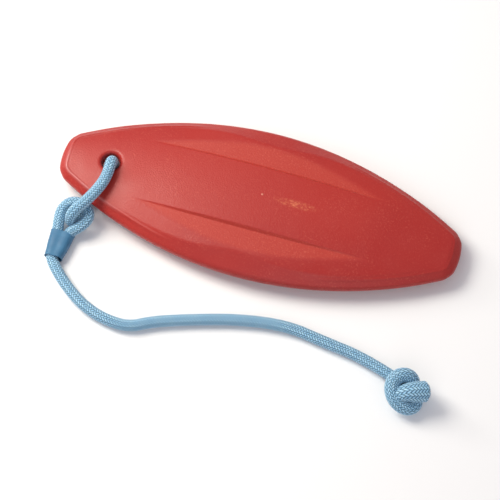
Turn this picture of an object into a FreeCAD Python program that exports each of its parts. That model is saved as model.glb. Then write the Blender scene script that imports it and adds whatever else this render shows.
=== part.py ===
import FreeCAD, Part
import math
import os

from FreeCAD import Vector

# Frame: +X along the board away from the roped end, +Z up, origin under the middle of the board
# on the surface it rests on. All sizes in millimetres.

# --- board ---------------------------------------------------------------------------------
BOARD_LENGTH = 289.4
BOARD_WIDTH = 115.0
TAPER_LENGTH = 171.0        # the long sides are parabolas that would meet this far from the middle
END_CORNER_RADIUS = 11.0
CROWN_HEIGHT = 25.5         # deck crown above the ground at the middle
CROWN_DROP = 9.5            # how much lower the crown is at the ends
KEEL_RISE = 8.6             # how far the underside rises towards the ends
KEEL_TRIM = 0.4             # shaved off under the middle, to leave a true flat
KEEL_FLAT_HALF = 40.0       # half length of the flat that the board rests on
KEEL_RISE_END = 104.0       # where the underside has finished rising
RAIL_HEIGHT_MIDDLE = 13.7
RAIL_HEIGHT_END = 12.0
RAIL_RADIUS_MIDDLE = 5.5
RAIL_RADIUS_END = 3.4
DECK_ANGLE = 60.0           # where on the rail's round the deck starts, degrees above level
HULL_ANGLE = -50.0          # where on the rail's round the hull starts
HULL_FLAT_SHARE = 0.45      # share of the half width that is flat underneath

# --- scoops beside the raised middle panel ----------------------------------------------------
PANEL_HALF_WIDTH = 23.5
SCOOP_FLOOR = 20.9          # height of the two flat scoops

# --- rope hole ---------------------------------------------------------------------------------
HOLE_X = -109.5
HOLE_RADIUS = 6.6
HOLE_LIP = 3.0

# --- rope --------------------------------------------------------------------------------------
ROPE_DIAMETER = 8.0
ROPE_RADIUS = ROPE_DIAMETER / 2
ARC_SHARE = 0.45            # share of the shorter run that an arc may use

# The becket: a short endless loop, up through the hole, over the rim, down through the lead's
# eye and back under the rim. Its ends butt together under the board.
BECKET_ROUTE = [
    (-114.8, -17.5, 4.0),
    (-109.5, -0.3, 4.0),
    (-109.5, -0.3, 27.0),
    (-107.6, -17.3, 25.8),
    (-115.0, -34.5, 23.2),
    (-123.4, -45.6, 20.4),
    (-123.4, -45.6, 4.0),
    (-115.0, -18.1, 4.0),
]

# The lead's eye, from the short end inside the sleeve, round and back into the sleeve.
EYE_ROUTE = [
    (-123.5, -65.0, 4.7),
    (-123.4, -56.6, 5.3),
    (-116.8, -52.2, 8.2),
    (-112.2, -45.2, 11.0),
    (-114.0, -38.0, 12.6),
    (-121.2, -34.2, 12.9),
    (-129.0, -34.8, 12.2),
    (-134.2, -41.0, 9.9),
    (-133.6, -49.5, 7.0),
    (-131.7, -57.0, 4.7),
    (-131.7, -62.5, 4.7),
]

# The free lead, through the lower half of the sleeve and along the ground to the knot.
LEAD_ROUTE = [
    (-131.7, -62.5, 4.7),
    (-131.7, -70.5, 4.7),
    (-128.6, -78.6, 4.5),
    (-121.5, -86.3, 4.0),
    (-110.5, -96.0, 4.0),
    (-96.5, -105.2, 4.0),
    (-80.0, -110.9, 4.0),
    (-61.5, -111.8, 4.0),
    (-47.0, -103.2, 4.0),
    (-21.0, -94.0, 4.0),
    (11.0, -84.4, 4.0),
    (44.0, -79.8, 4.0),
    (72.0, -84.3, 4.0),
    (101.0, -88.0, 4.0),
    (126.5, -97.5, 6.0),
]

# --- sleeve: (distance from its upper end, outer width) at each section -----------------------------
SLEEVE_CENTRE_X = -127.6
SLEEVE_START_Y = -56.8
SLEEVE_LENGTH = 20.0
SLEEVE_HEIGHT = 9.4
SLEEVE_WALL = 0.6
SLEEVE_SECTIONS = [(0.0, 17.7), (9.0, 17.4), (SLEEVE_LENGTH, 13.4)]

# --- stopper knot --------------------------------------------------------------------------------
KNOT_CENTRE = Vector(135.1, -107.0, 12.0)
KNOT_HALF_SIZES = (16.0, 17.0, 12.0)
CUT_END = Vector(148.5, -103.5, 13.0)


def blend(start, end, share):
    return start + (end - start) * share


def end_share(x):
    """0 at the middle of the board, 1 at either end."""
    return abs(x) / (BOARD_LENGTH / 2)


def side_width(x):
    """Half width of the parabolic side."""
    return BOARD_WIDTH / 2 * (1 - (x / TAPER_LENGTH) ** 2)


def corner():
    """Centre and tangent station of the round corner between a side and an end."""
    centre_x = BOARD_LENGTH / 2 - END_CORNER_RADIUS
    tangent_x = centre_x
    for _ in range(20):
        slope = BOARD_WIDTH * tangent_x / TAPER_LENGTH ** 2
        tangent_x = centre_x + END_CORNER_RADIUS * slope / math.hypot(1, slope)
    slope = BOARD_WIDTH * tangent_x / TAPER_LENGTH ** 2
    centre_y = side_width(tangent_x) - END_CORNER_RADIUS / math.hypot(1, slope)
    return centre_x, centre_y, tangent_x


def half_width(x):
    centre_x, centre_y, tangent_x = corner()
    if abs(x) <= tangent_x:
        return side_width(x)
    reach = min(abs(x) - centre_x, END_CORNER_RADIUS)
    return centre_y + math.sqrt(END_CORNER_RADIUS ** 2 - reach ** 2)


def keel_height(x):
    share = (abs(x) - KEEL_FLAT_HALF) / (KEEL_RISE_END - KEEL_FLAT_HALF)
    share = min(max(share, 0.0), 1.0)
    return KEEL_RISE * share * share * (3 - 2 * share) - KEEL_TRIM * (1 - share)


def board_section(x):
    """One closed cross-section: flat, hull side, rail, deck, rail, hull side."""
    share = end_share(x)
    width = half_width(x)
    rail_radius = blend(RAIL_RADIUS_MIDDLE, RAIL_RADIUS_END, share)
    rail_z = blend(RAIL_HEIGHT_MIDDLE, RAIL_HEIGHT_END, share)
    crown_z = CROWN_HEIGHT - CROWN_DROP * share ** 2
    keel_z = keel_height(x)
    flat = width * HULL_FLAT_SHARE

    def rail_point(side, degrees):
        angle = math.radians(degrees)
        y = width - rail_radius + rail_radius * math.cos(angle)
        return Vector(x, side * y, rail_z + rail_radius * math.sin(angle))

    edges = [
        Part.LineSegment(Vector(x, -flat, keel_z), Vector(x, flat, keel_z)),
        Part.LineSegment(Vector(x, flat, keel_z), rail_point(1, HULL_ANGLE)),
        Part.Arc(rail_point(1, HULL_ANGLE), rail_point(1, 5), rail_point(1, DECK_ANGLE)),
        Part.Arc(rail_point(1, DECK_ANGLE), Vector(x, 0, crown_z), rail_point(-1, DECK_ANGLE)),
        Part.Arc(rail_point(-1, DECK_ANGLE), rail_point(-1, 5), rail_point(-1, HULL_ANGLE)),
        Part.LineSegment(rail_point(-1, HULL_ANGLE), Vector(x, -flat, keel_z)),
    ]
    return Part.Wire([edge.toShape() for edge in edges])


def board_stations():
    half = BOARD_LENGTH / 2
    side = [20, 40, 56, 72, 88, 104, 116, 127, half - 7.5, half - 4, half - 1.6, half]
    return [-x for x in reversed(side)] + [0] + side


def scoop(side):
    """Everything above one scoop's floor, outside the raised panel."""
    reach = BOARD_LENGTH
    width = BOARD_WIDTH
    corner_y = PANEL_HALF_WIDTH if side > 0 else -PANEL_HALF_WIDTH - width
    return Part.makeBox(reach, width, 3 * CROWN_HEIGHT, Vector(-reach / 2, corner_y, SCOOP_FLOOR))


def below_ground():
    reach = BOARD_LENGTH
    depth = CROWN_HEIGHT
    return Part.makeBox(reach, BOARD_WIDTH, depth, Vector(-reach / 2, -BOARD_WIDTH / 2, -depth))


def rope_hole():
    """The bore with its two rounded lips, as the solid to cut away."""
    top = CROWN_HEIGHT - CROWN_DROP * end_share(HOLE_X) ** 2
    bottom = KEEL_RISE
    outer = HOLE_RADIUS + HOLE_LIP
    bend = HOLE_LIP * math.sqrt(0.5)

    def lip(side, z):
        start = Vector(HOLE_RADIUS, 0, z - side * HOLE_LIP)
        middle = Vector(outer - bend, 0, z - side * (HOLE_LIP - bend))
        end = Vector(outer, 0, z)
        return start, middle, end

    low_start, low_middle, low_end = lip(-1, bottom)
    top_start, top_middle, top_end = lip(1, top)
    floor_z = bottom - HOLE_LIP
    roof_z = top + HOLE_LIP
    edges = [
        Part.LineSegment(Vector(0, 0, floor_z), Vector(outer, 0, floor_z)),
        Part.LineSegment(Vector(outer, 0, floor_z), low_end),
        Part.Arc(low_end, low_middle, low_start),
        Part.LineSegment(low_start, top_start),
        Part.Arc(top_start, top_middle, top_end),
        Part.LineSegment(top_end, Vector(outer, 0, roof_z)),
        Part.LineSegment(Vector(outer, 0, roof_z), Vector(0, 0, roof_z)),
        Part.LineSegment(Vector(0, 0, roof_z), Vector(0, 0, floor_z)),
    ]
    face = Part.Face(Part.Wire([edge.toShape() for edge in edges]))
    cutter = face.revolve(Vector(0, 0, 0), Vector(0, 0, 1), 360)
    cutter.translate(Vector(HOLE_X, 0, 0))
    return cutter


def board_body():
    sections = [board_section(x) for x in board_stations()]
    board = Part.makeLoft(sections, True, False)
    for side in (1, -1):
        board = board.cut(scoop(side))
    board = board.cut(below_ground())
    return board.cut(rope_hole())


def rope_tube(name, route):
    """A tube along straight runs joined by tangent arcs as large as the runs allow."""
    points = [Vector(*point) for point in route]
    edges = []
    start = points[0]
    radii = []
    for before, point, after in zip(points, points[1:], points[2:]):
        run_in = point - before
        run_out = after - point
        half_turn = run_in.getAngle(run_out) / 2
        cut_back = ARC_SHARE * min(run_in.Length, run_out.Length)
        radii.append(cut_back / math.tan(half_turn))
        arc_start = point - run_in.normalize() * cut_back
        arc_end = point + run_out.normalize() * cut_back
        to_centre = (arc_start + arc_end) * 0.5 - point
        depth = radii[-1] * (1 / math.cos(half_turn) - 1)
        arc_middle = point + to_centre.normalize() * depth
        edges.append(Part.LineSegment(start, arc_start).toShape())
        edges.append(Part.Arc(arc_start, arc_middle, arc_end).toShape())
        start = arc_end
    edges.append(Part.LineSegment(start, points[-1]).toShape())
    path = Part.Wire(edges)
    direction = points[1] - points[0]
    ring = Part.Wire([Part.makeCircle(ROPE_RADIUS, points[0], direction)])
    tube = path.makePipeShell([ring], True, False)
    expected = math.pi * ROPE_RADIUS ** 2 * path.Length
    print(name, "length", round(path.Length, 1), "radii", [round(radius, 1) for radius in radii])
    print(name, "volume / (section x length)", round(tube.Volume / expected, 4))
    return tube


def stadium(centre_x, y, width, height):
    """An upright oval section across the sleeve."""
    radius = height / 2
    half = width / 2 - radius
    right = centre_x + half
    left = centre_x - half
    edges = [
        Part.LineSegment(Vector(left, y, 0), Vector(right, y, 0)),
        Part.Arc(Vector(right, y, 0), Vector(right + radius, y, radius), Vector(right, y, height)),
        Part.LineSegment(Vector(right, y, height), Vector(left, y, height)),
        Part.Arc(Vector(left, y, height), Vector(left - radius, y, radius), Vector(left, y, 0)),
    ]
    return Part.Wire([edge.toShape() for edge in edges])


def sleeve_loft(wall):
    """The sleeve's outside (wall 0) or the space inside its wall."""
    wires = []
    for distance, width in SLEEVE_SECTIONS:
        y = SLEEVE_START_Y - distance
        wires.append(stadium(SLEEVE_CENTRE_X, y, width - 2 * wall, SLEEVE_HEIGHT - 2 * wall))
        wires[-1].translate(Vector(0, 0, wall))
    return Part.makeLoft(wires, True, True)


def crimp_sleeve(eye, lead):
    hollow = sleeve_loft(SLEEVE_WALL)
    return sleeve_loft(0).cut(hollow).cut(eye).cut(lead)


def end_knot(lead):
    ball = Part.makeSphere(1.0)
    stretch = FreeCAD.Matrix()
    stretch.scale(*KNOT_HALF_SIZES)
    ball = ball.transformGeometry(stretch)
    ball.translate(KNOT_CENTRE)
    run = CUT_END - KNOT_CENTRE
    stub = Part.makeCylinder(ROPE_RADIUS, run.Length, KNOT_CENTRE, run)
    return ball.fuse(stub).cut(lead)


def main():
    os.makedirs("parts", exist_ok=True)
    eye = rope_tube("rope_eye", EYE_ROUTE)
    lead = rope_tube("rope_lead", LEAD_ROUTE)
    pieces = {
        "board_body": board_body(),
        "rope_becket": rope_tube("rope_becket", BECKET_ROUTE),
        "rope_eye": eye,
        "crimp_sleeve": crimp_sleeve(eye, lead),
        "rope_lead": lead,
        "end_knot": end_knot(lead),
    }
    for name, shape in pieces.items():
        print(name, "valid", shape.isValid(), "solids", len(shape.Solids), "volume", round(shape.Volume))
        shape.exportStep("parts/" + name + ".step")


main()
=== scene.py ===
import math

import bmesh
import bpy
import numpy as np
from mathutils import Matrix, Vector


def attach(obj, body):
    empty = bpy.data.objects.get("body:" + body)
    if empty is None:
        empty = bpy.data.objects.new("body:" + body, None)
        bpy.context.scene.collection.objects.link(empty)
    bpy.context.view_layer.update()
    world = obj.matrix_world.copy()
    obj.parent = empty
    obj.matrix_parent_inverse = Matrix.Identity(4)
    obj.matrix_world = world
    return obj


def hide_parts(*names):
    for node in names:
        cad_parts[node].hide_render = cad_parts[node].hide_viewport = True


# A moulded foam float with a braided rope lead. Shapes are worked out in millimetres and put
# into the scene in metres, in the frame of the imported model: +X along the board away from the
# roped end, +Z up.

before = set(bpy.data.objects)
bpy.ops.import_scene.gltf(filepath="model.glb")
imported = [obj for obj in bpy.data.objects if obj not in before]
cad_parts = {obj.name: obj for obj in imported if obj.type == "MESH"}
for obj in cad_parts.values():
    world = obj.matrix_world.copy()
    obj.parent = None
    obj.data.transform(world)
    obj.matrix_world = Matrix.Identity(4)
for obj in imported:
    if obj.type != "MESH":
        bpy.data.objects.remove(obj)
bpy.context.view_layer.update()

MM = 0.001

# --- camera ---------------------------------------------------------------------------------------
CAMERA_AZIMUTH = 16.44
CAMERA_ELEVATION = 65.0
CAMERA_DISTANCE = 1.6
CAMERA_TARGET = Vector((0.002, -0.0297, 0.0))
CAMERA_LENS = 163.2
CAMERA_SENSOR = 36.0

# --- board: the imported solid's figures, with lower rails and its own crown ------------------------
BOARD_LENGTH = 289.4
BOARD_WIDTH = 115.0
TAPER_LENGTH = 171.0
END_CORNER_RADIUS = 11.0
CROWN_HEIGHT = 26.2
CROWN_DROP = 9.4
KEEL_RISE = 8.6
KEEL_TRIM = 0.4
KEEL_FLAT_HALF = 40.0
KEEL_RISE_END = 104.0
RAIL_HEIGHT_MIDDLE = 12.2   # a little under the solid's, which leaves room for the bevel above
RAIL_HEIGHT_END = 11.3
RAIL_RADIUS_MIDDLE = 5.5
RAIL_RADIUS_END = 3.4
DECK_ANGLE = math.radians(60.0)
HULL_ANGLE = math.radians(-50.0)
HULL_FLAT_SHARE = 0.45
HULL_FLARE_ROUNDING = 0.12
HOLE_X = -109.5
HOLE_RADIUS = 6.6
HOLE_LIP = 3.0

# --- board, softer shapes that only the surface has -----------------------------------------------
MIDDLE_REACH = 28.0         # how far along the board its middle's own shape fades out
BEVEL_WIDTH_END = 4.4
BEVEL_WIDTH_GROWTH = 6.0    # how much wider the bevel grows from the ends to the middle
BEVEL_WIDTH_MIDDLE = 4.6    # and what it gains besides, beside the middle of the scoops
BEVEL_ANGLE = 35.0
BEVEL_ANGLE_MIDDLE_DROP = 10.0
BEVEL_ANGLE_END_RISE = 3.0
BEVEL_ROUNDING = 0.5
PLAIN_END_ROUNDING = 1.3    # how much more it is towards the end without the hole
PLAIN_END_START = 60.0
PLAIN_END_FADE = 60.0
BEAD_DISTANCE = 5.2         # the slight raised bead inside the outline, towards the ends
BEAD_HEIGHT = 0.6           # at the roped end; half as high at the other
BEAD_WIDTH = 0.9
BEAD_START = 45.0
BEAD_FADE = 25.0
PLAIN_END_BEAD = 0.5
END_BULGE = 1.3             # how far each end's middle stands out, and its corners stand back
END_BULGE_START = 110.0
END_HALF_WIDTH = 16.0
GLOSS_HIGHLIGHT_WIDTH = 0.8          # a painted highlight makes the bead paler, and it is shinier, towards the roped end
GLOSS_HIGHLIGHT_START = 85.0
GLOSS_HIGHLIGHT_FADE = 30.0
PANEL_HALF_WIDTH = 23.5
SCOOP_FLOOR = 22.65         # at the middle of the board
SCOOP_FLOOR_DROP = 1.45     # how much lower the floor is at SCOOP_REACH
SCOOP_REACH = 84.0
STEP_SLOPE = 1.25           # of the panel's side walls
STEP_ROUNDING = 0.45
SCOOP_EDGE_ROUNDING = 0.2
CORNER_BLEND = 4.0          # rounds the distance from the edge where a side meets an end
GATE_PLACE = (1.5, 2.3)
GATE_RADIUS = 0.8
GATE_HEIGHT = 0.35
PALE_STREAK_PLACE = (26.0, 1.5, 24.0)
PALE_STREAK_REACH = (20.0, 4.0, 30.0)
GATE_HALO_REACH = (1.1, 1.1, 30.0)

# --- board, how finely it is meshed ---------------------------------------------------------------
BORDER = 7.5                # width of the strip round the edge that is meshed as rings
STRAIGHT_COLUMNS = 126
CORNER_COLUMNS = 8
END_BLEND = 25.0            # over this much of the length the columns bend to the end's own shape
INNER_ROWS = [(0.0, 22.6, 12), (22.6, 25.4, 14)]    # from, to and count: finest at the panel's wall
INNER_LIMIT = 28.0
LAST_INNER_ROWS = 6
OUTER_ROWS = 33
INNER_SHARE_LIMIT = 0.62
INNER_ROUNDING = 4.0
RAIL_STRIP = 2.5            # nearer the edge than this, heights go by the foot on the outline alone
BEVEL_RINGS = 15
RAIL_RINGS = 15
HULL_RINGS = 5
HOLE_MARGIN = 3.0
HOLE_FLAT_RINGS = 6
HOLE_LIP_RINGS = 8
GATE_SIDES = 20
GATE_RINGS = 5
GATE_SUNK = 0.1

# --- rope -----------------------------------------------------------------------------------------
CARRIERS = 14               # strands laid each way round
KNOT_CARRIERS = 20          # in the knot, where the rope spreads
STITCH = 2.1                # length of rope from one stitch to the next, mm
FINENESS = 5                # mesh steps across one strand
RELIEF = 0.45               # how deep the grooves between strands are, mm
ROPE_CREST = 4.1            # radius over the strands, mm
UNDER_HEIGHT = 0.45         # how high a strand stands where it dives under, as a share of its crest
CAP_RINGS = (0.85, 0.55, 0.2)
CAP_BULGE = 0.15            # how far a cut end bulges, in rope radii
CAP_RELIEF = 0.7

BECKET_ROUTE = [(-0.1148, -0.0175, 0.0041), (-0.1083, 0.0004, 0.0041), (-0.1083, 0.0004, 0.0270),
                (-0.1072, -0.0168, 0.0258), (-0.1150, -0.0345, 0.0232), (-0.1240, -0.0460, 0.0202),
                (-0.1254, -0.0486, 0.0041), (-0.1200, -0.0330, 0.0041), (-0.1152, -0.0190, 0.0041)]
EYE_ROUTE = [(-0.1245, -0.0650, 0.0047), (-0.1243, -0.0592, 0.0048), (-0.1218, -0.0538, 0.0068),
             (-0.1168, -0.0507, 0.0098),
             (-0.1122, -0.0444, 0.0122), (-0.1140, -0.0380, 0.0130), (-0.1212, -0.0342, 0.0129),
             (-0.1286, -0.0348, 0.0122), (-0.1335, -0.0410, 0.0099), (-0.1331, -0.0495, 0.0070),
             (-0.1317, -0.0570, 0.0047), (-0.1317, -0.0625, 0.0047)]
LEAD_ROUTE = [(-0.1317, -0.0625, 0.0047), (-0.1317, -0.0705, 0.0047), (-0.1286, -0.0786, 0.0045),
              (-0.1215, -0.0863, 0.0040), (-0.1105, -0.0960, 0.0040), (-0.0965, -0.1052, 0.0040),
              (-0.0800, -0.1109, 0.0040), (-0.0615, -0.1118, 0.0040), (-0.0470, -0.1032, 0.0040),
              (-0.0210, -0.0940, 0.0040), (0.0110, -0.0844, 0.0040), (0.0440, -0.0798, 0.0040),
              (0.0720, -0.0843, 0.0040), (0.1010, -0.0880, 0.0040), (0.1265, -0.0975, 0.0060)]

# The knot's own rope, from under its wrap, round, and out to the cut end.
KNOT_ROUTE = [(0.1265, -0.0975, 0.0060), (0.1330, -0.1010, 0.0085), (0.1405, -0.1060, 0.0080),
              (0.1440, -0.1120, 0.0060), (0.1390, -0.1170, 0.0070), (0.1310, -0.1155, 0.0100),
              (0.1260, -0.1100, 0.0130), (0.1250, -0.1030, 0.0150), (0.1290, -0.0980, 0.0165),
              (0.1345, -0.0965, 0.0150), (0.1385, -0.0985, 0.0105), (0.1375, -0.1020, 0.0050),
              (0.1330, -0.1070, 0.0050), (0.1308, -0.1112, 0.0110), (0.1358, -0.1090, 0.0160),
              (0.1440, -0.1058, 0.0150), (0.1500, -0.1030, 0.0135)]

KNOT_RADIUS = 4.3           # where the rope enters the knot, mm
KNOT_SPREAD = 1.1           # how much fatter the rope lies once it is in the knot
KNOT_TAIL_SPREAD = 1.9      # and how much more it opens near its cut end
KNOT_RELIEF = RELIEF * 1.2

# --- sleeve: (distance from its upper end, left edge, outer width), mm ----------------------------
SLEEVE_START_Y = -56.8
SLEEVE_LENGTH = 20.0
SLEEVE_HEIGHT = 9.8
SLEEVE_WALL = 0.6
SLEEVE_SECTIONS = [(0.0, -136.3, 17.4), (9.0, -135.8, 16.0), (SLEEVE_LENGTH, -134.6, 12.7)]
SLEEVE_SIDES = 72
SLEEVE_END = 1.2            # the stretch at each end that is meshed finely
SLEEVE_LIP = 0.25
SLEEVE_LIP_REACH = 1.0
SLEEVE_LIFT = 0.1
SLEEVE_DIP = 0.5            # the groove that the sleeve draws into between the two strands
SLEEVE_DIP_WIDTH = 2.2
SLEEVE_SIDE_SHARPNESS = 2.2


# --- small tools ----------------------------------------------------------------------------------

def smooth_min(a, b, rounding):
    """The lower of a and b, with the corner between them rounded."""
    near = np.maximum(rounding - np.abs(a - b), 0.0) / rounding
    return np.minimum(a, b) - near * near * rounding / 4


def smooth_max(a, b, rounding):
    return -smooth_min(-a, -b, rounding)


def ease(share):
    share = np.clip(share, 0.0, 1.0)
    return share * share * (3 - 2 * share)


def mesh_piece(name, points_mm, faces, material):
    """A smooth-shaded mesh object from points in millimetres, with its faces turned outwards."""
    mesh = bpy.data.meshes.new(name)
    mesh.from_pydata((np.asarray(points_mm, float) * MM).tolist(), [], faces)
    mesh.validate()
    work = bmesh.new()
    work.from_mesh(mesh)
    bmesh.ops.recalc_face_normals(work, faces=work.faces)
    work.to_mesh(mesh)
    work.free()
    mesh.polygons.foreach_set("use_smooth", [True] * len(mesh.polygons))
    mesh.materials.append(material)
    piece = bpy.data.objects.new(name, mesh)
    bpy.context.scene.collection.objects.link(piece)
    return piece


def give_attribute(piece, name, values):
    """One number for each vertex, which a material can read by name."""
    made = piece.data.attributes.new(name, "FLOAT", "POINT")
    made.data.foreach_set("value", np.asarray(values, np.float32))


def ring_faces(first, second):
    """Quads between two closed rings of vertex numbers."""
    count = len(first)
    return [(first[k], first[(k + 1) % count], second[(k + 1) % count], second[k]) for k in range(count)]


# --- camera, floor and light ----------------------------------------------------------------------

def make_camera():
    azimuth = math.radians(CAMERA_AZIMUTH)
    elevation = math.radians(CAMERA_ELEVATION)
    back = Vector((math.sin(azimuth) * math.cos(elevation), -math.cos(azimuth) * math.cos(elevation),
                   math.sin(elevation)))
    data = bpy.data.cameras.new("camera")
    data.lens = CAMERA_LENS
    data.sensor_width = CAMERA_SENSOR
    data.clip_start = 0.05
    data.clip_end = 50.0
    camera = bpy.data.objects.new("camera", data)
    bpy.context.scene.collection.objects.link(camera)
    camera.location = CAMERA_TARGET + back * CAMERA_DISTANCE
    camera.rotation_mode = "QUATERNION"
    camera.rotation_quaternion = (-back).to_track_quat("-Z", "Y")
    bpy.context.scene.camera = camera


def area_light(name, place, aim, size, power, colour=(1, 1, 1)):
    data = bpy.data.lights.new(name, "AREA")
    data.shape = "DISK"
    data.size = size
    data.energy = power
    data.color = colour
    light = bpy.data.objects.new(name, data)
    bpy.context.scene.collection.objects.link(light)
    light.location = place
    light.rotation_mode = "QUATERNION"
    light.rotation_quaternion = (Vector(aim) - Vector(place)).to_track_quat("-Z", "Y")


def make_stage():
    scene = bpy.context.scene
    scene.view_settings.view_transform = "Standard"
    scene.view_settings.look = "None"
    world = bpy.data.worlds.new("studio")
    world.use_nodes = True
    world.node_tree.nodes["Background"].inputs["Color"].default_value = (0.97, 0.94, 1.0, 1)
    world.node_tree.nodes["Background"].inputs["Strength"].default_value = 0.42
    scene.world = world
    area_light("key", (-0.69, 0.12, 0.87), (-0.02, -0.02, 0.0), 0.60, 9.4, (1.0, 0.96, 0.86))
    area_light("overhead", (-0.40, 0.42, 0.95), (-0.03, 0.0, 0.0), 0.60, 1.3, (1.0, 0.97, 0.88))
    area_light("side", (-1.0, 0.22, 0.54), (-0.1, 0.0, 0.0), 0.30, 2.5, (1.0, 0.96, 0.9))
    area_light("fill", (0.2, -0.9, 0.8), (0.0, 0.0, 0.0), 0.9, 2.2, (0.95, 0.97, 1.0))

    mesh = bpy.data.meshes.new("floor")
    reach = 4.0
    mesh.from_pydata([(-reach, -reach, 0), (reach, -reach, 0), (reach, reach, 0), (-reach, reach, 0)],
                     [], [(0, 1, 2, 3)])
    mesh.materials.append(floor_material())
    floor = bpy.data.objects.new("floor", mesh)
    scene.collection.objects.link(floor)
    floor.location.z = -0.0002


# --- materials ------------------------------------------------------------------------------------

class Shader:
    """A material's node tree, with short ways to add the nodes used here."""

    def __init__(self, name):
        self.material = bpy.data.materials.new(name)
        self.material.use_nodes = True
        self.tree = self.material.node_tree
        self.surface = self.tree.nodes["Principled BSDF"]

    def node(self, kind, **settings):
        made = self.tree.nodes.new(kind)
        for key, value in settings.items():
            setattr(made, key, value)
        return made

    def link(self, output, target):
        self.tree.links.new(output, target)

    def place(self):
        return self.node("ShaderNodeTexCoord").outputs["Object"]

    def noise(self, scale, detail=3.0, roughness=0.5, vector=None):
        made = self.node("ShaderNodeTexNoise")
        made.inputs["Scale"].default_value = scale
        made.inputs["Detail"].default_value = detail
        made.inputs["Roughness"].default_value = roughness
        self.link(vector or self.place(), made.inputs["Vector"])
        return made.outputs["Fac"]

    def cells(self, scale):
        made = self.node("ShaderNodeTexVoronoi")
        made.inputs["Scale"].default_value = scale
        self.link(self.place(), made.inputs["Vector"])
        return made.outputs["Distance"]

    def ramp(self, value, low, high, out_low=0.0, out_high=1.0):
        made = self.node("ShaderNodeMapRange", interpolation_type="SMOOTHSTEP")
        made.inputs["From Min"].default_value = low
        made.inputs["From Max"].default_value = high
        made.inputs["To Min"].default_value = out_low
        made.inputs["To Max"].default_value = out_high
        self.link(value, made.inputs["Value"])
        return made.outputs["Result"]

    def math(self, operation, first, second):
        made = self.node("ShaderNodeMath", operation=operation)
        for socket, value in zip(made.inputs, (first, second)):
            if isinstance(value, (int, float)):
                socket.default_value = value
            else:
                self.link(value, socket)
        return made.outputs[0]

    def mix(self, share, first, second):
        """A colour between first and second, each a colour or another node's output."""
        made = self.node("ShaderNodeMix", data_type="RGBA")
        self.link(share, made.inputs["Factor"])
        for socket, value in zip((made.inputs[6], made.inputs[7]), (first, second)):
            if isinstance(value, tuple):
                socket.default_value = (*value, 1)
            else:
                self.link(value, socket)
        return made.outputs[2]

    def bump(self, height, distance, strength=1.0, below=None):
        made = self.node("ShaderNodeBump")
        made.inputs["Distance"].default_value = distance
        made.inputs["Strength"].default_value = strength
        self.link(height, made.inputs["Height"])
        if below is not None:
            self.link(below, made.inputs["Normal"])
        return made.outputs["Normal"]

    def near(self, centre_mm, reach_mm):
        """1 round a place on the board, fading to 0 at the given reach along each axis."""
        made = self.node("ShaderNodeMapping", vector_type="TEXTURE")
        made.inputs["Location"].default_value = [value * MM for value in centre_mm]
        made.inputs["Scale"].default_value = [value * MM for value in reach_mm]
        self.link(self.place(), made.inputs["Vector"])
        length = self.node("ShaderNodeVectorMath", operation="LENGTH")
        self.link(made.outputs["Vector"], length.inputs[0])
        return self.ramp(length.outputs["Value"], 0.3, 1.0, 1.0, 0.0)

    def attribute(self, name):
        return self.node("ShaderNodeAttribute", attribute_name=name).outputs["Fac"]

    def set(self, **values):
        for key, value in values.items():
            self.surface.inputs[key.replace("_", " ")].default_value = value


def floor_material():
    shader = Shader("pale_floor")
    shader.set(Roughness=0.9)
    base = shader.mix(shader.noise(3.0, 2.0), (0.95, 0.95, 0.96), (0.96, 0.96, 0.97))
    shader.link(base, shader.surface.inputs["Base Color"])
    return shader.material


def foam_material():
    """Red moulded foam: a satin skin with fine pebbles, a grainier and paler finish in the scoops, the
    paleness partly painted light, blushes of deeper red, pale flecks, a pale streak beside the gate mark, and
    a painted highlight on the bead, which is also shinier."""
    shader = Shader("red_foam_skin")
    scooped = shader.attribute("scooped")
    cloud = shader.ramp(shader.noise(9.0, 2.0), 0.35, 0.68)
    base = shader.mix(cloud, (0.43, 0.025, 0.018), (0.38, 0.019, 0.016))
    # paler in the scoops: partly their grainier finish, partly painted light for the brighter light their
    # flat floors catch
    base = shader.mix(shader.math("MULTIPLY", scooped, 0.6), base, (0.50, 0.045, 0.026))
    grain = shader.ramp(shader.noise(750.0, 2.0, 0.7), 0.50, 0.76, 0.0, 0.42)
    patchy = shader.ramp(shader.noise(38.0, 3.0), 0.42, 0.66, 0.35, 1.0)
    flecks = shader.math("MULTIPLY", grain, shader.math("ADD", patchy, shader.math("MULTIPLY", scooped, 0.5)))
    base = shader.mix(flecks, base, (0.62, 0.11, 0.07))
    # a pale speckled streak beside the gate mark, fading out from its middle
    pale_streak = shader.math("MULTIPLY", shader.near(PALE_STREAK_PLACE, PALE_STREAK_REACH),
                        shader.ramp(shader.noise(520.0, 3.0), 0.42, 0.74, 0.1, 1.0))
    base = shader.mix(pale_streak, base, (0.66, 0.17, 0.08))
    base = shader.mix(shader.near((*GATE_PLACE, SCOOP_FLOOR), GATE_HALO_REACH), base, (0.70, 0.24, 0.17))
    gloss_and_painted_highlight = shader.attribute("gloss_and_painted_highlight")
    # painted highlight: the bead's crest is painted paler towards the roped end in place of a highlight line;
    # the lower roughness below is its shine
    base = shader.mix(shader.math("MULTIPLY", gloss_and_painted_highlight, 0.5), base, (0.66, 0.27, 0.26))
    shader.link(base, shader.surface.inputs["Base Color"])
    satin = shader.ramp(shader.noise(60.0, 4.0), 0.3, 0.75, 0.36, 0.47)
    roughness = shader.math("SUBTRACT", satin, shader.math("MULTIPLY", gloss_and_painted_highlight, 0.14))
    shader.link(roughness, shader.surface.inputs["Roughness"])
    pebbles = shader.bump(shader.cells(1100.0), 0.00012, 0.7)
    grit = shader.math("MULTIPLY", shader.noise(1500.0, 2.0), scooped)
    rough_scoops = shader.bump(grit, 0.00012, 0.6, pebbles)
    skin = shader.bump(shader.noise(1900.0, 2.0), 0.00005, 0.6, rough_scoops)
    waves = shader.bump(shader.noise(30.0, 2.0), 0.0006, 0.35, skin)
    shader.link(waves, shader.surface.inputs["Normal"])
    shader.set(Specular_IOR_Level=0.44)
    return shader.material


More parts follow.
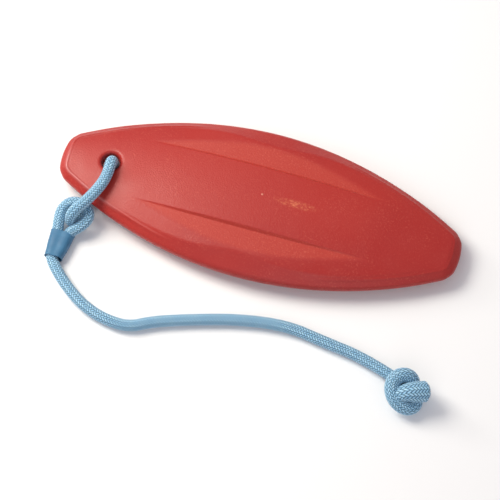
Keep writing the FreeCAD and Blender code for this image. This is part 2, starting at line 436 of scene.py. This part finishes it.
def rope_material():
    """Pale blue braid: bright crests, painted shade darkening the grooves, strands painted a little darker
    where they lean the other way as a stand-in for the braid's sheen, and fine filaments along each strand."""
    shader = Shader("blue_braid_yarn")
    height = shader.attribute("relief")
    crest = shader.ramp(height, 0.30, 0.92)
    stitch = shader.ramp(shader.noise(420.0, 1.0), 0.35, 0.65)
    pale = shader.mix(stitch, (0.36, 0.65, 0.88), (0.49, 0.78, 0.97))
    painted_sheen_shade = shader.mix(stitch, (0.27, 0.54, 0.77), (0.37, 0.66, 0.88))
    # painted sheen: strands leaning the other way are painted darker, standing in for the sheen that catches
    # one lean more than the other
    pale = shader.mix(shader.attribute("lean"), pale, painted_sheen_shade)
    # painted shade: the grooves between strands are painted dark, as the shade that falls in them
    base = shader.mix(crest, (0.050, 0.14, 0.25), pale)
    shader.link(base, shader.surface.inputs["Base Color"])
    roughness = shader.ramp(shader.noise(700.0, 2.0), 0.3, 0.7, 0.42, 0.62)
    shader.link(roughness, shader.surface.inputs["Roughness"])
    lay = shader.node("ShaderNodeUVMap", uv_map="lay").outputs["UV"]
    filament = shader.node("ShaderNodeTexWave", wave_type="BANDS", bands_direction="X")
    filament.inputs["Scale"].default_value = 1.3
    filament.inputs["Distortion"].default_value = 0.6
    filament.inputs["Detail"].default_value = 2.0
    shader.link(lay, filament.inputs["Vector"])
    fine = shader.bump(filament.outputs["Fac"], 0.00010, 0.6)
    fuzz = shader.bump(shader.noise(3200.0, 2.0), 0.00005, 0.5, fine)
    shader.link(fuzz, shader.surface.inputs["Normal"])
    shader.set(Specular_IOR_Level=0.4, Sheen_Weight=0.25, Sheen_Roughness=0.5)
    return shader.material


def sleeve_material():
    """Smooth blue shrink sleeve with faint draw lines and a duller, handled surface in patches."""
    shader = Shader("blue_shrink_sleeve")
    cloud = shader.ramp(shader.noise(160.0, 3.0), 0.35, 0.7)
    base = shader.mix(cloud, (0.036, 0.150, 0.285), (0.048, 0.180, 0.325))
    shader.link(base, shader.surface.inputs["Base Color"])
    roughness = shader.ramp(shader.noise(240.0, 3.0), 0.3, 0.7, 0.50, 0.62)
    shader.link(roughness, shader.surface.inputs["Roughness"])
    stretch = shader.node("ShaderNodeMapping")
    stretch.inputs["Scale"].default_value = (1.0, 0.12, 1.0)
    shader.link(shader.place(), stretch.inputs["Vector"])
    lines = shader.bump(shader.noise(900.0, 3.0, vector=stretch.outputs["Vector"]), 0.00010, 0.4)
    shader.link(lines, shader.surface.inputs["Normal"])
    shader.set(Specular_IOR_Level=0.5)
    return shader.material


# --- board ----------------------------------------------------------------------------------------

def end_share(x):
    return np.abs(x) / (BOARD_LENGTH / 2)


def side_width(x):
    return BOARD_WIDTH / 2 * (1 - (x / TAPER_LENGTH) ** 2)


def side_slope(x):
    return BOARD_WIDTH * np.abs(x) / TAPER_LENGTH ** 2


def rail_radius(x):
    return RAIL_RADIUS_MIDDLE + (RAIL_RADIUS_END - RAIL_RADIUS_MIDDLE) * end_share(x)


def rail_height(x):
    return RAIL_HEIGHT_MIDDLE + (RAIL_HEIGHT_END - RAIL_HEIGHT_MIDDLE) * end_share(x)


def crown_height(x):
    return CROWN_HEIGHT - CROWN_DROP * end_share(x) ** 2


def keel_height(x):
    share = np.clip((np.abs(x) - KEEL_FLAT_HALF) / (KEEL_RISE_END - KEEL_FLAT_HALF), 0, 1)
    return KEEL_RISE * share * share * (3 - 2 * share) - KEEL_TRIM * (1 - share)


def corner_place():
    """Centre of the round corner, and where it meets the side."""
    centre_x = BOARD_LENGTH / 2 - END_CORNER_RADIUS
    tangent_x = centre_x
    for _ in range(20):
        slope = side_slope(tangent_x)
        tangent_x = centre_x + END_CORNER_RADIUS * slope / math.hypot(1, slope)
    slope = side_slope(tangent_x)
    centre_y = side_width(tangent_x) - END_CORNER_RADIUS / math.hypot(1, slope)
    return centre_x, centre_y, tangent_x


CORNER_X, CORNER_Y, CORNER_START = corner_place()


def middle_share(x):
    return np.exp(-(x / MIDDLE_REACH) ** 2)


def bevel_width(x):
    """The sloping band between the crown and the outline: wide only beside the scoops' middle."""
    return (BEVEL_WIDTH_END + BEVEL_WIDTH_GROWTH * (1 - end_share(x))
            + BEVEL_WIDTH_MIDDLE * middle_share(x))


def bevel_height(x, edge_distance):
    """The band's height, where it runs up from the rail's round."""
    start = rail_radius(x) * (1 - math.cos(DECK_ANGLE))
    top = rail_height(x) + rail_radius(x) * math.sin(DECK_ANGLE)
    angle = np.radians(BEVEL_ANGLE - BEVEL_ANGLE_MIDDLE_DROP * middle_share(x)
                       + BEVEL_ANGLE_END_RISE * end_share(x) ** 2)
    return top + np.tan(angle) * (edge_distance - start)


def crown_at(x, y):
    chord = side_width(x) - bevel_width(x) * np.hypot(1, side_slope(x))
    rise = crown_height(x) - bevel_height(x, bevel_width(x))
    return crown_height(x) - rise * (y / chord) ** 2


def scoop_depth(x, y):
    """How far each scoop's floor lies under the crown."""
    floor = SCOOP_FLOOR - SCOOP_FLOOR_DROP * (x / SCOOP_REACH) ** 2
    depth = smooth_max(crown_at(x, y) - floor, 0.0, SCOOP_EDGE_ROUNDING)
    wall = smooth_max(STEP_SLOPE * (np.abs(y) - PANEL_HALF_WIDTH), 0.0, STEP_ROUNDING)
    return np.maximum(smooth_min(depth, wall, STEP_ROUNDING), 0.0)


def deck_height(x, y, edge_distance):
    """The deck: a low crown with its two scoops, the bevel along the edge and the bead on it."""
    scooped = crown_at(x, y) - scoop_depth(x, y)
    bead = BEAD_HEIGHT * ease((np.abs(x) - BEAD_START) / BEAD_FADE)
    bead = bead * np.exp(-((edge_distance - BEAD_DISTANCE) / BEAD_WIDTH) ** 2)
    bead = bead * np.where(np.asarray(x) < 0, 1.0, PLAIN_END_BEAD)
    rounding = BEVEL_ROUNDING + PLAIN_END_ROUNDING * ease((x - PLAIN_END_START) / PLAIN_END_FADE)
    return smooth_min(scooped, bevel_height(x, edge_distance), rounding) + bead


def hull_height(x, edge_distance):
    """Flat along the middle, then rising in a straight flare to the rail."""
    start = rail_radius(x) * (1 - math.cos(HULL_ANGLE))
    top = rail_height(x) + rail_radius(x) * math.sin(HULL_ANGLE)
    flare = (1 - HULL_FLAT_SHARE) * side_width(x) - start
    share = smooth_max(1 - (edge_distance - start) / flare, 0.0, HULL_FLARE_ROUNDING)
    return np.maximum(keel_height(x) + (top - keel_height(x)) * share, 0.0)


class Outline:
    """Feet on the board's outline with their outward normals, one per mesh column and end row."""

    def __init__(self):
        inset_corner = END_CORNER_RADIUS - BORDER
        split = math.radians(45.0)
        straight = np.linspace(0, CORNER_START, STRAIGHT_COLUMNS)
        slopes = side_slope(straight)
        lengths = np.hypot(1, slopes)
        feet = np.stack([straight, side_width(straight)], -1)
        normals = np.stack([slopes / lengths, 1 / lengths], -1)
        start = math.atan2(normals[-1, 1], normals[-1, 0])
        turn = np.linspace(start, split, CORNER_COLUMNS + 1)[1:]
        turn_normals = np.stack([np.cos(turn), np.sin(turn)], -1)
        centre = np.array([CORNER_X, CORNER_Y])
        self.side_feet = np.vstack([feet, centre + END_CORNER_RADIUS * turn_normals])
        self.side_normals = np.vstack([normals, turn_normals])
        self.end_half = CORNER_Y + inset_corner * math.sin(split)
        self.end_x = CORNER_X + inset_corner * math.cos(split)
        self.inset_corner = inset_corner

    def end_foot(self, y):
        """Foot and normal on the +X end for a point of the inset line at height y."""
        if abs(y) <= CORNER_Y:
            return np.array([BOARD_LENGTH / 2, y]), np.array([1.0, 0.0])
        share = min((abs(y) - CORNER_Y) / self.inset_corner, 1.0)
        normal = np.array([math.sqrt(1 - share ** 2), math.copysign(share, y)])
        centre = np.array([CORNER_X, math.copysign(CORNER_Y, y)])
        return centre + END_CORNER_RADIUS * normal, normal


def row_places(half_width):
    """Where the mesh rows lie across a strip of this half width: finer beside the raised panel."""
    strips = [np.linspace(first, last, count + 1)[:-1] for first, last, count in INNER_ROWS]
    panel = np.concatenate([*strips, np.linspace(INNER_ROWS[-1][1], INNER_LIMIT, LAST_INNER_ROWS)])
    inner = float(smooth_min(INNER_LIMIT, INNER_SHARE_LIMIT * half_width, INNER_ROUNDING))
    outer = np.linspace(0, 1, OUTER_ROWS + 1)[1:]
    half = np.append(panel * inner / INNER_LIMIT, inner + outer * (half_width - inner))
    return np.append(-half[:0:-1], half)


def board_piece():
    outline = Outline()
    side_feet = np.vstack([outline.side_feet[:0:-1] * [-1, 1], outline.side_feet])
    side_normals = np.vstack([outline.side_normals[:0:-1] * [-1, 1], outline.side_normals])
    inset = side_feet - BORDER * side_normals
    columns = len(inset)
    end_rows = row_places(outline.end_half)
    rows = len(end_rows)
    end_feet = [outline.end_foot(y) for y in end_rows]
    end_bulge = np.array([foot[0] - BORDER * normal[0] for foot, normal in end_feet]) - outline.end_x

    # plan places of the inner grid
    grid = np.zeros((columns, rows, 2))
    for i in range(columns):
        x = inset[i, 0]
        share = ease((abs(x) - outline.end_x + END_BLEND) / END_BLEND)
        grid[i, :, 0] = x + math.copysign(1.0, x) * end_bulge * share
        grid[i, :, 1] = row_places(inset[i, 1])

    # the loop of feet round the edge, in the order of the grid's own border
    border = [(i, 0) for i in range(columns)]
    border += [(columns - 1, j) for j in range(1, rows)]
    border += [(i, rows - 1) for i in range(columns - 2, -1, -1)]
    border += [(0, j) for j in range(rows - 2, 0, -1)]
    feet = []
    normals = []
    for i, j in border:
        if j in (0, rows - 1):
            side = -1 if j == 0 else 1
            feet.append(side_feet[i] * [1, side])
            normals.append(side_normals[i] * [1, side])
        else:
            side = -1 if i == 0 else 1
            foot, normal = end_feet[j]
            feet.append(foot * [side, 1])
            normals.append(normal * [side, 1])
    feet = np.array(feet)
    normals = np.array(normals)

    # the block of grid cells that the hole's own rings take the place of
    block_half = HOLE_RADIUS + HOLE_LIP + HOLE_MARGIN
    middle = int(np.argmin(np.abs(inset[:, 0] - HOLE_X)))
    inside_columns = np.nonzero(np.abs(inset[:, 0] - HOLE_X) <= block_half)[0]
    inside_rows = np.nonzero(np.abs(grid[middle, :, 1]) <= block_half)[0]
    i0, i1 = inside_columns[0], inside_columns[-1]
    j0, j1 = inside_rows[0], inside_rows[-1]

    points = []
    faces = []

    def add(places):
        first = len(points)
        points.extend(places)
        return list(range(first, len(points)))

    def add_grid(height):
        numbers = -np.ones((columns, rows), int)
        for i in range(columns):
            for j in range(rows):
                if i0 < i < i1 and j0 < j < j1:
                    continue
                x, y = grid[i, j]
                numbers[i, j] = len(points)
                points.append((x, y, height(x, y)))
        for i in range(columns - 1):
            for j in range(rows - 1):
                if i0 <= i < i1 and j0 <= j < j1:
                    continue
                faces.append((numbers[i, j], numbers[i + 1, j], numbers[i + 1, j + 1], numbers[i, j + 1]))
        return numbers

    def inner_distance(x, y):
        side = (side_width(x) - np.abs(y)) / np.hypot(1, side_slope(x))
        return smooth_min(side, BOARD_LENGTH / 2 - np.abs(x), CORNER_BLEND)

    def top_at(x, y):
        return deck_height(x, y, inner_distance(x, y))

    def under_at(x, y):
        return hull_height(x, inner_distance(x, y))

    top = add_grid(top_at)
    under = add_grid(under_at)

    # rings from the deck over the bevel, round the rail and in under the hull
    rings = [[top[i, j] for i, j in border]]
    x_foot = feet[:, 0]
    radius = rail_radius(x_foot)
    centre_z = rail_height(x_foot)

    def strip(distance):
        """Places this far in from the outline, with the x and distance that their height goes by:
        the foot's at the rail, and the grid's own where the strip meets the grid."""
        place = feet - distance[:, None] * normals
        share = ease((distance - RAIL_STRIP) / (BORDER - RAIL_STRIP))
        height_x = x_foot + (place[:, 0] - x_foot) * share
        grid_distance = inner_distance(place[:, 0], place[:, 1])
        return place, height_x, distance + (grid_distance - distance) * share

    deck_start = radius * (1 - math.cos(DECK_ANGLE))
    for share in np.linspace(1, 0, BEVEL_RINGS + 2)[1:-1]:
        place, height_x, distance = strip(deck_start + (BORDER - deck_start) * share)
        rings.append(add(np.column_stack([place, deck_height(height_x, place[:, 1], distance)])))
    for angle in np.linspace(DECK_ANGLE, HULL_ANGLE, RAIL_RINGS):
        distance = radius * (1 - math.cos(angle))
        place = feet - distance[:, None] * normals
        rings.append(add(np.column_stack([place, centre_z + radius * math.sin(angle)])))
    hull_start = radius * (1 - math.cos(HULL_ANGLE))
    for share in np.linspace(0, 1, HULL_RINGS + 2)[1:-1]:
        place, height_x, distance = strip(hull_start + (BORDER - hull_start) * share)
        rings.append(add(np.column_stack([place, hull_height(height_x, distance)])))
    rings.append([under[i, j] for i, j in border])
    for first, second in zip(rings, rings[1:]):
        faces.extend(ring_faces(first, second))

    # the hole: rings closing in from the block, the two rounded lips and the bore between them
    edge = [(i, j0) for i in range(i0, i1)] + [(i1, j) for j in range(j0, j1)]
    edge += [(i, j1) for i in range(i1, i0, -1)] + [(i0, j) for j in range(j1, j0, -1)]
    start = np.array([grid[i, j] for i, j in edge])
    centre = np.array([HOLE_X, 0.0])
    outward = (start - centre) / np.linalg.norm(start - centre, axis=1)[:, None]
    lip_edge = centre + (HOLE_RADIUS + HOLE_LIP) * outward

    def hole_rings(height, into):
        made = []
        for share in np.linspace(0, 1, HOLE_FLAT_RINGS + 1)[1:]:
            place = start + (lip_edge - start) * share
            made.append(add([(x, y, height(x, y)) for x, y in place]))
        for angle in np.linspace(0, math.pi / 2, HOLE_LIP_RINGS + 1)[1:]:
            place = lip_edge - HOLE_LIP * math.sin(angle) * outward
            drop = into * HOLE_LIP * (1 - math.cos(angle))
            made.append(add([(x, y, height(x, y) + drop) for x, y in place]))
        return made

    chain = [[top[i, j] for i, j in edge]] + hole_rings(top_at, -1)
    chain += hole_rings(under_at, 1)[::-1] + [[under[i, j] for i, j in edge]]
    for first, second in zip(chain, chain[1:]):
        faces.extend(ring_faces(first, second))

    places = np.array(points)
    plan = places[:, 0].copy(), places[:, 1].copy()
    reach = ease((np.abs(places[:, 0]) - END_BULGE_START) / (BOARD_LENGTH / 2 - END_BULGE_START))
    across = np.clip(np.abs(places[:, 1]) / END_HALF_WIDTH, 0, 1)
    places[:, 0] += np.sign(places[:, 0]) * END_BULGE * reach * (1 - 2 * across ** 2)
    piece = mesh_piece("board_skin", places, faces, foam)
    on_deck = places[:, 2] > SCOOP_FLOOR - 2.0
    scooped = np.clip(scoop_depth(places[:, 0], places[:, 1]) / 0.5, 0, 1) * on_deck
    give_attribute(piece, "scooped", scooped)
    # where the bead is painted paler as a highlight and made shinier, towards the roped end
    gloss_and_painted_highlight = np.exp(-((inner_distance(*plan) - BEAD_DISTANCE) / GLOSS_HIGHLIGHT_WIDTH) ** 2)
    gloss_and_painted_highlight *= ease((-plan[0] - GLOSS_HIGHLIGHT_START) / GLOSS_HIGHLIGHT_FADE) * ease((8.0 - plan[1]) / 14.0)
    gloss_and_painted_highlight *= places[:, 2] > RAIL_HEIGHT_END
    give_attribute(piece, "gloss_and_painted_highlight", gloss_and_painted_highlight)
    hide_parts("board_body")
    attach(piece, "board")
    return piece


def gate_piece():
    """The small nub that the mould's gate leaves in the middle of the deck."""
    points = []
    rings = []
    centre_x, centre_y = GATE_PLACE
    base_z = float(deck_height(centre_x, centre_y, BOARD_WIDTH / 2)) - GATE_SUNK
    for angle in np.linspace(0, math.pi / 2, GATE_RINGS + 1)[:-1]:
        radius = GATE_RADIUS * math.cos(angle)
        z = base_z + (GATE_HEIGHT + GATE_SUNK) * math.sin(angle)
        rings.append(list(range(len(points), len(points) + GATE_SIDES)))
        for k in range(GATE_SIDES):
            turn = 2 * math.pi * k / GATE_SIDES
            points.append((centre_x + radius * math.cos(turn), centre_y + radius * math.sin(turn), z))
    faces = [face for a, b in zip(rings, rings[1:]) for face in ring_faces(a, b)]
    points.append((centre_x, centre_y, base_z + GATE_HEIGHT + GATE_SUNK))
    tip = len(points) - 1
    faces += [(rings[-1][k], rings[-1][(k + 1) % GATE_SIDES], tip) for k in range(GATE_SIDES)]
    faces.append(tuple(reversed(rings[0])))
    piece = mesh_piece("gate_mark", points, faces, foam)
    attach(piece, "board")


# --- rope -----------------------------------------------------------------------------------------

def smooth_line(route):
    """Points along the smooth line that the route's points steer, in metres."""
    curve = bpy.data.curves.new("line", "CURVE")
    curve.dimensions = "3D"
    spline = curve.splines.new("NURBS")
    spline.points.add(len(route) - 1)
    for point, place in zip(spline.points, route):
        point.co = (*place, 1)
    spline.order_u = 3
    spline.use_endpoint_u = True
    spline.resolution_u = 24
    carrier = bpy.data.objects.new("line", curve)
    bpy.context.scene.collection.objects.link(carrier)
    mesh = bpy.data.meshes.new_from_object(carrier)
    line = np.array([vertex.co for vertex in mesh.vertices])
    bpy.data.objects.remove(carrier)
    bpy.data.curves.remove(curve)
    bpy.data.meshes.remove(mesh)
    return line


def evenly(line, step):
    """The line again, with points a fixed step apart."""
    lengths = np.append(0, np.cumsum(np.linalg.norm(np.diff(line, axis=0), axis=1)))
    count = max(int(round(lengths[-1] / step)), 2) + 1
    places = np.linspace(0, lengths[-1], count)
    return np.stack([np.interp(places, lengths, line[:, axis]) for axis in range(3)], -1), lengths[-1]


def turning_frames(line):
    """Two directions across the line at each point, carried along it without twist."""
    tangents = np.gradient(line, axis=0)
    tangents /= np.linalg.norm(tangents, axis=1)[:, None]
    side = np.cross(tangents[0], (0, 0, 1))
    if np.linalg.norm(side) < 1e-3:
        side = np.cross(tangents[0], (1, 0, 0))
    sides = []
    for tangent in tangents:
        side = side - tangent * (side @ tangent)
        side = side / np.linalg.norm(side)
        sides.append(side)
    sides = np.array(sides)
    return tangents, sides, np.cross(tangents, sides)


def braid_relief(around, along):
    """Height of the braid, 0 in a groove and 1 on a crest, and which way the strand on top leans,
    0 or 1. Each strand goes over two and under two of the strands that cross it, so the stitches
    stand in columns that lean left and right."""
    one = around + along
    other = around - along
    weave = np.mod(np.floor(one) + np.floor(other), 4)
    one_on_top = weave < 2
    across = np.where(one_on_top, np.mod(one, 1), np.mod(other, 1))
    onward = np.where(one_on_top, weave + np.mod(other, 1), weave - 2 + np.mod(one, 1)) / 2
    crest = np.sqrt(np.clip(1 - (2 * across - 1) ** 2, 0, 1))
    height = crest * (UNDER_HEIGHT + (1 - UNDER_HEIGHT) * np.sqrt(np.clip(np.sin(np.pi * onward), 0, 1)))
    return height, one_on_top.astype(float)


def braided(name, line, crest_radius, relief=RELIEF, carriers=CARRIERS):
    """A braided rope along a line in metres. crest_radius and relief are in millimetres, and
    crest_radius may be one value for each point of the line."""
    line_mm = line / MM
    count = len(line)
    crest_radius = np.broadcast_to(crest_radius, count)
    tangents, sides, ups = turning_frames(line_mm)
    steps = carriers * FINENESS
    around = np.arange(steps) / FINENESS
    angles = 2 * math.pi * np.arange(steps) / steps
    along = np.arange(count) / FINENESS
    height, lean = braid_relief(around[None, :], along[:, None])
    radius = crest_radius[:, None] - relief * (1 - height)
    ring = np.cos(angles)[None, :, None] * sides[:, None, :] + np.sin(angles)[None, :, None] * ups[:, None, :]
    shell = line_mm[:, None, :] + radius[:, :, None] * ring
    points = shell.reshape(-1, 3).tolist()
    heights = height.reshape(-1).tolist()
    leans = lean.reshape(-1).tolist()
    numbers = np.arange(count * steps).reshape(count, steps)
    faces = []
    lay = []
    for i in range(count - 1):
        for k in range(steps):
            following = (k + 1) % steps
            faces.append((numbers[i, k], numbers[i, following], numbers[i + 1, following], numbers[i + 1, k]))
            lay.append((k, i))
    for i, outward in ((0, -1), (count - 1, 1)):
        rings = [list(numbers[i])]
        for share in CAP_RINGS:
            bulge = outward * CAP_BULGE * crest_radius[i] * (1 - share ** 2)
            first = len(points)
            shrunk = line_mm[i] + (shell[i] - line_mm[i]) * share + tangents[i] * bulge
            points.extend(shrunk.tolist())
            heights.extend([CAP_RELIEF] * steps)
            leans.extend([0.5] * steps)
            rings.append(list(range(first, first + steps)))
        for a, b in zip(rings, rings[1:]):
            faces.extend(ring_faces(a, b))
        faces.append(tuple(rings[-1]))
    piece = mesh_piece(name, points, faces, yarn)
    mesh = piece.data
    give_attribute(piece, "relief", heights)
    give_attribute(piece, "lean", leans)
    uv = mesh.uv_layers.new(name="lay")
    for polygon in mesh.polygons[:len(lay)]:
        k, i = lay[polygon.index]
        for loop, vertex in zip(polygon.loop_indices, polygon.vertices):
            vk = vertex % steps
            if vk < k:
                vk += steps
            a = vk / FINENESS
            b = (vertex // steps) / FINENESS
            centre_a = (k + 0.5) / FINENESS
            centre_b = (i + 0.5) / FINENESS
            weave = (math.floor(centre_a + centre_b) + math.floor(centre_a - centre_b)) % 4
            uv.data[loop].uv = (a + b, a - b) if weave < 2 else (a - b, a + b)
    return piece


def make_ropes():
    step = STITCH * MM / FINENESS
    becket_line, becket_length = evenly(smooth_line(BECKET_ROUTE), step)
    eye_line, eye_length = evenly(smooth_line(EYE_ROUTE), step)
    lead_line, lead_length = evenly(smooth_line(LEAD_ROUTE), step)
    knot_line, _ = evenly(smooth_line(KNOT_ROUTE), step)

    becket = braided("rope_loop", becket_line, ROPE_CREST)
    eye = braided("lead_eye", eye_line, ROPE_CREST)
    lead = braided("lead_rope", lead_line, ROPE_CREST)

    share = np.linspace(0, 1, len(knot_line))
    fat = KNOT_RADIUS + KNOT_SPREAD * ease(share / 0.2) + KNOT_TAIL_SPREAD * ease((share - 0.8) / 0.13)
    round_end = np.sqrt(np.clip(1 - np.clip((share - 0.98) / 0.02, 0, 1) ** 2, 0.45, 1))
    knot = braided("stopper_knot", knot_line, fat * round_end, KNOT_RELIEF, KNOT_CARRIERS)

    for piece, node, body in ((becket, "rope_becket", "becket"), (eye, "rope_eye", "lead"),
                              (lead, "rope_lead", "lead"), (knot, "end_knot", "lead")):
        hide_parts(node)
        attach(piece, body)
    return ((becket, becket_line, becket_length), (eye, eye_line, eye_length),
            (lead, lead_line, lead_length), knot)


# --- sleeve ---------------------------------------------------------------------------------------

def sleeve_piece():
    """A thin tube shrunk over two strands: oval, tapered, with a rolled lip at each end."""
    lower_end = SLEEVE_LENGTH - SLEEVE_END
    distances = np.concatenate([np.linspace(0, SLEEVE_END, 5), np.linspace(SLEEVE_END, lower_end, 26)[1:-1],
                                np.linspace(lower_end, SLEEVE_LENGTH, 5)])
    stations, lefts, widths = zip(*SLEEVE_SECTIONS)

    def softly(values):
        """The values of the sections at every distance, with the corners between them rounded."""
        padded = np.pad(np.interp(distances, stations, values), 3, mode="edge")
        return np.convolve(padded, np.ones(7) / 7, "valid")

    def section(centre_x, width, height, distance, centre_z):
        radius = height / 2
        flat = width / 2 - radius
        places = []
        for k in range(SLEEVE_SIDES):
            angle = 2 * math.pi * k / SLEEVE_SIDES
            across, up = math.cos(angle), math.sin(angle)
            shift = math.copysign(min(abs(across) * SLEEVE_SIDE_SHARPNESS, 1) * flat, across)
            x = centre_x + shift + radius * across
            dip = SLEEVE_DIP * math.exp(-((x - centre_x) / SLEEVE_DIP_WIDTH) ** 2) * max(up, 0)
            places.append((x, SLEEVE_START_Y - distance, centre_z + radius * up - dip))
        return places

    points = []
    rings = []
    outer = []
    for distance, left, width in zip(distances, softly(lefts), softly(widths)):
        near_end = min(distance, SLEEVE_LENGTH - distance)
        flare = SLEEVE_LIP * max(0.0, 1 - near_end / SLEEVE_LIP_REACH) ** 2
        outer.append((distance, left + width / 2, width + 2 * flare, SLEEVE_HEIGHT + flare))
    inner = [(d, x, w - 2 * SLEEVE_WALL, h - 2 * SLEEVE_WALL) for d, x, w, h in reversed(outer)]
    for distance, centre_x, width, height in outer + inner:
        rings.append(list(range(len(points), len(points) + SLEEVE_SIDES)))
        points.extend(section(centre_x, width, height, distance, SLEEVE_HEIGHT / 2 + SLEEVE_LIFT))
    faces = []
    for first, second in zip(rings, rings[1:] + rings[:1]):
        faces.extend(ring_faces(first, second))
    piece = mesh_piece("shrink_sleeve", points, faces, sleeve_finish)
    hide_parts("crimp_sleeve")
    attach(piece, "lead")
    return piece


# --- the scene ------------------------------------------------------------------------------------

make_camera()
foam = foam_material()
yarn = rope_material()
sleeve_finish = sleeve_material()

becket_rope, eye_rope, lead_rope, knot = make_ropes()
sleeve = sleeve_piece()
board_piece()
gate_piece()
make_stage()
